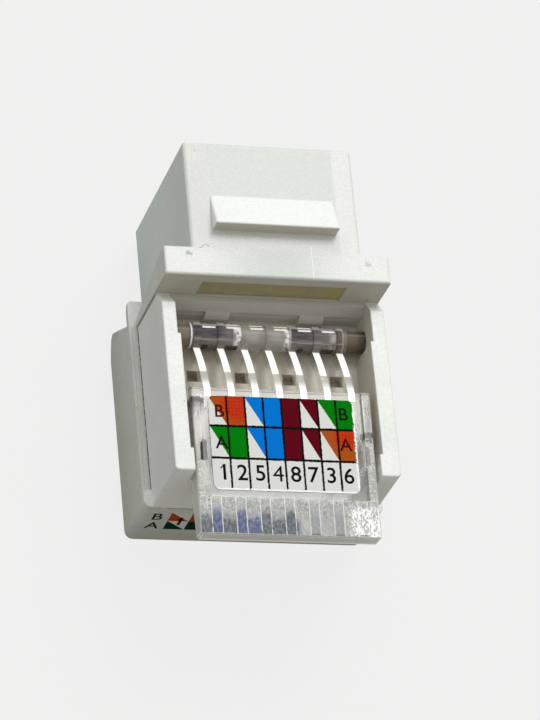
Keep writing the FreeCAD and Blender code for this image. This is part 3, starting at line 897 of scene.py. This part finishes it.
black_ink = ink("black_ink", paint(8, 8, 9), paint(34, 32, 32))
red_ink = ink("dark_red_ink", paint(58, 8, 14), paint(84, 18, 22))
print("ink is", ink_thickness / mm, "mm thick")

# %% [markdown]
# On the label the digits stand in the order of the wires below it, one to a column, and the letters of
# the two rows stand at both ends. The letters on the orange cells are a dark red, so they are a piece
# of their own. The font's 1 has no flag, so a short tilted stroke is set beside it.

# %% Numbers and letters of the label
pin_order = "12548736"
digit_height, digit_behind, digit_pitch, digit_shift = 1.36 * mm, 12.98, 1.5, 0.06
letter_height, left_inset, right_inset = 1.08 * mm, 0.15, -0.14
behind_b, behind_a = {"left": 7.68, "right": 7.58}, {"left": 10.42, "right": 10.26}
flag_turn, flag_size = Matrix.Rotation(math.radians(-28), 4, "Z"), 0.34
label_flag = (-0.16, -0.47)


def on_label(across, behind):
    """Place on the closed lid: across and behind in mm, facing up off the label."""
    flat = Matrix.Translation(Vector((across, -behind, label_top)) * mm)
    return Matrix.Translation(axle) @ Matrix.Rotation(lid_tilt, 4, "X") @ flat


def column_middle(column):
    return (column + 0.5) * cell_width - label_half_width


first_digit = digit_shift - (column_count - 1) / 2 * digit_pitch
left, right = column_middle(0) + left_inset, column_middle(column_count - 1) + right_inset
numbers = []
for index, pin in enumerate(pin_order):
    numbers.append((pin, digit_height, on_label(first_digit + index * digit_pitch, digit_behind)))
flag_place = on_label(first_digit + label_flag[0], digit_behind + label_flag[1]) @ flag_turn
numbers.append(("/", digit_height * flag_size, flag_place))
numbers.append(("A", letter_height, on_label(left, behind_a["left"])))
numbers.append(("B", letter_height, on_label(right, behind_b["right"])))
lettering("label_numbers", "lid", numbers, black_ink)
on_orange = [
    ("B", letter_height, on_label(left, behind_b["left"])),
    ("A", letter_height, on_label(right, behind_a["right"])),
]
lettering("label_letters", "lid", on_orange, red_ink)

# %% [markdown]
# The rear print has the same digits on the border of its two rows and the letters of the rows at their
# left. A quarter turn about X stands the flat characters up, so that they read from behind.

# %% Numbers and letters of the rear print
rear_letter, rear_digit, rear_middle = 1.22 * mm, 1.48 * mm, 12.48
rear_letters = (("B", -8.60, 11.67), ("A", -8.66, 13.41))
rear_flag, digit_in_cell = (-0.17, -0.48), 0.6


def on_rear(across, below_nose_top):
    """Place on the rear face of the body, readable from behind."""
    flat = Matrix.Translation(Vector((across, rear_face, nose_top - below_nose_top)) * mm)
    return flat @ Matrix.Rotation(math.radians(90), 4, "X")


rear_marks = [(letter, rear_letter, on_rear(across, below)) for letter, across, below in rear_letters]
for index, pin in enumerate(pin_order):
    digit_across = rear_left + (index + digit_in_cell) * rear_cell
    rear_marks.append((pin, rear_digit, on_rear(digit_across, rear_middle)))
flag_across = rear_left + digit_in_cell * rear_cell + rear_flag[0]
flag_place = on_rear(flag_across, rear_middle + rear_flag[1]) @ flag_turn
rear_marks.append(("/", rear_digit * flag_size, flag_place))
lettering("rear_lettering", "jack", rear_marks, black_ink)

# %% [markdown]
# ## Insert
# The insert behind the flange is natural PBT, olive and a little cloudy, and more yellow towards one
# end. Such plastic lets some light in, but it is thick and dark here, so a cloudy colour with a fine
# relief is enough.

# %% Natural PBT insert
yellow_end = (4.6, 5.8)


def natural_pbt(name):
    material, place = start_material(name)
    cloudy = noise(place, 0.8, detail=3.0)
    olive = cloudy.fade(0.3, 0.7).tint(paint(164, 152, 114), paint(176, 164, 124))
    shader = place.node("ShaderNodeBsdfPrincipled", {
        "Base Color": axes(place)[0].fade(*yellow_end).tint(olive, paint(179, 166, 100)),
        "Roughness": 0.4 + 0.15 * cloudy,
        "Normal": relief(place, noise(place, 6.0), 0.006),
    })
    return end_material(material, shader)


dress(natural_pbt("natural_pbt"), "contact_carrier")

# %% [markdown]
# ## Plating
# The spring contacts are gold over nickel with a fine drawn grain along the wire, and the forks are
# matt tin. A metal is its reflections, so what makes it real is uneven gloss: noise stretched along the
# wire varies the roughness and the relief, and slow patches dull the colour.

# %% Gold and tin plating
gold_grain, tin_grain = (3.0, 0.25, 1.0), (1.0, 1.0, 0.3)
gold_roughness, tin_roughness = 0.16, 0.32


def plating(name, bright, dull, roughness, stretch):
    material, place = start_material(name)
    drawn = place.node("ShaderNodeMapping", {"Vector": place, "Scale": stretch})
    grain = noise(drawn, 6.0, detail=3.0)
    patches = noise(place, 0.9, detail=3.0)
    shader = place.node("ShaderNodeBsdfPrincipled", {
        "Base Color": patches.fade(0.35, 0.7).tint(bright, dull),
        "Metallic": 1.0,
        "Roughness": roughness + 0.2 * grain,
        "Normal": relief(place, grain, 0.003),
    })
    return end_material(material, shader)


contact_numbers = range(1, column_count + 1)
gold = plating("gold_plating", paint(246, 212, 132), paint(226, 184, 96), gold_roughness, gold_grain)
dress(gold, *[f"plug_contact_{number}" for number in contact_numbers])
tin = plating("tin_plating", paint(222, 222, 220), paint(196, 196, 192), tin_roughness, tin_grain)
dress(tin, *[f"wire_contact_{number}" for number in contact_numbers])

# %% [markdown]
# ## Board
# The board joins the two sets of contacts and is coated with green solder mask, paler and raised over
# the copper tracks. Tracks could be modelled, but they are thinner than a hair and deep inside, so
# swaying stripes in the material show them.

# %% Solder mask
track_pitch, track_sway, track_edge, track_height = 1.02, 3.0, (0.22, 0.18), 0.03


def solder_mask(name):
    material, place = start_material(name)
    sway = noise(place, 0.25)
    tracks = (axes(place)[0] + sway * track_sway) / track_pitch
    track = abs(tracks - math.floor(tracks) - 0.5).fade(*track_edge)
    shader = place.node("ShaderNodeBsdfPrincipled", {
        "Base Color": track.tint(paint(12, 74, 40), paint(28, 112, 60)),
        "Roughness": 0.3 + 0.1 * sway,
        "Normal": relief(place, track, track_height),
    })
    return end_material(material, shader)


dress(solder_mask("solder_mask"), "circuit_board")

# %% [markdown]
# ## Floor
# The picture has an even pale ground. A white floor under a lamp would be brightest near the lamp, so
# to the camera, and through clear plastic, this floor is mostly its own pale colour. The rest of it is
# matt and takes the shadow of the jack.

# %% Floor
floor_gap, floor_half_size, own_light = 0.02 * mm, 2.0, 0.82
floor_mesh = bpy.data.meshes.new("floor")
shape = bmesh.new()
bmesh.ops.create_grid(shape, x_segments=1, y_segments=1, size=floor_half_size)
bmesh.ops.translate(shape, verts=shape.verts, vec=(0, 0, cad_box[0].z - floor_gap))
shape.to_mesh(floor_mesh)
shape.free()
floor = bpy.data.objects.new("floor", floor_mesh)
bpy.context.scene.collection.objects.link(floor)

floor_material, floor_place = start_material("pale_floor")
to_camera = floor_place.node("ShaderNodeLightPath", {}, output="Is Camera Ray")
through_lid = floor_place.node("ShaderNodeLightPath", {}, output="Is Transmission Ray")
matt = floor_place.node("ShaderNodeBsdfDiffuse", {"Color": paint(150, 150, 144)})
glow = floor_place.node("ShaderNodeEmission", {"Color": white, "Strength": 1.0})
shown = to_camera.most(through_lid) * own_light
end_material(floor_material, floor_place.node("ShaderNodeMixShader", {0: shown, 1: matt, 2: glow}))
floor_mesh.materials.append(floor_material)
print("floor at z", round((cad_box[0].z - floor_gap) / mm, 2), "mm")

# %% [markdown]
# ## Light
# One soft light comes from the front, high enough to brighten the ridge and the upper faces while the
# rear and left faces stay grey. A very large lamp would light those too, so one panel stands in front,
# and an even world fills the rest, a little brighter from the front than from behind. A lamp shines
# along its own -Z, so its Z axis is turned away from the jack.

# %% Lamp and world
panel_place, panel_size, panel_watts = Vector((0.111, 0.257, 0.415)), (0.18, 0.24), 1.2
sky_behind, sky_in_front = paint(170, 170, 163), paint(242, 243, 244)

panel_light = bpy.data.lights.new("front_panel", "AREA")
panel_light.shape = "RECTANGLE"
panel_light.size, panel_light.size_y = panel_size
panel_light.energy = panel_watts
lamp = bpy.data.objects.new("front_panel", panel_light)
bpy.context.scene.collection.objects.link(lamp)
aim = panel_place.normalized().to_track_quat("Z", "Y").to_matrix().to_4x4()
lamp.matrix_world = Matrix.Translation(panel_place) @ aim

world = bpy.data.worlds.new("studio")
world.use_nodes = True
direction = Shade(world.node_tree).node("ShaderNodeTexCoord", {}, output="Generated")
from_front = axes(direction)[1] * 0.5 + 0.5
sky_colour = from_front.tint(sky_behind, sky_in_front)
world.node_tree.links.new(sky_colour.socket, world.node_tree.nodes["Background"].inputs["Color"])
bpy.context.scene.world = world
bpy.context.scene.view_settings.view_transform = "Standard"
print("lamp", lamp.name, panel_light.energy, "W")

# %% [markdown]
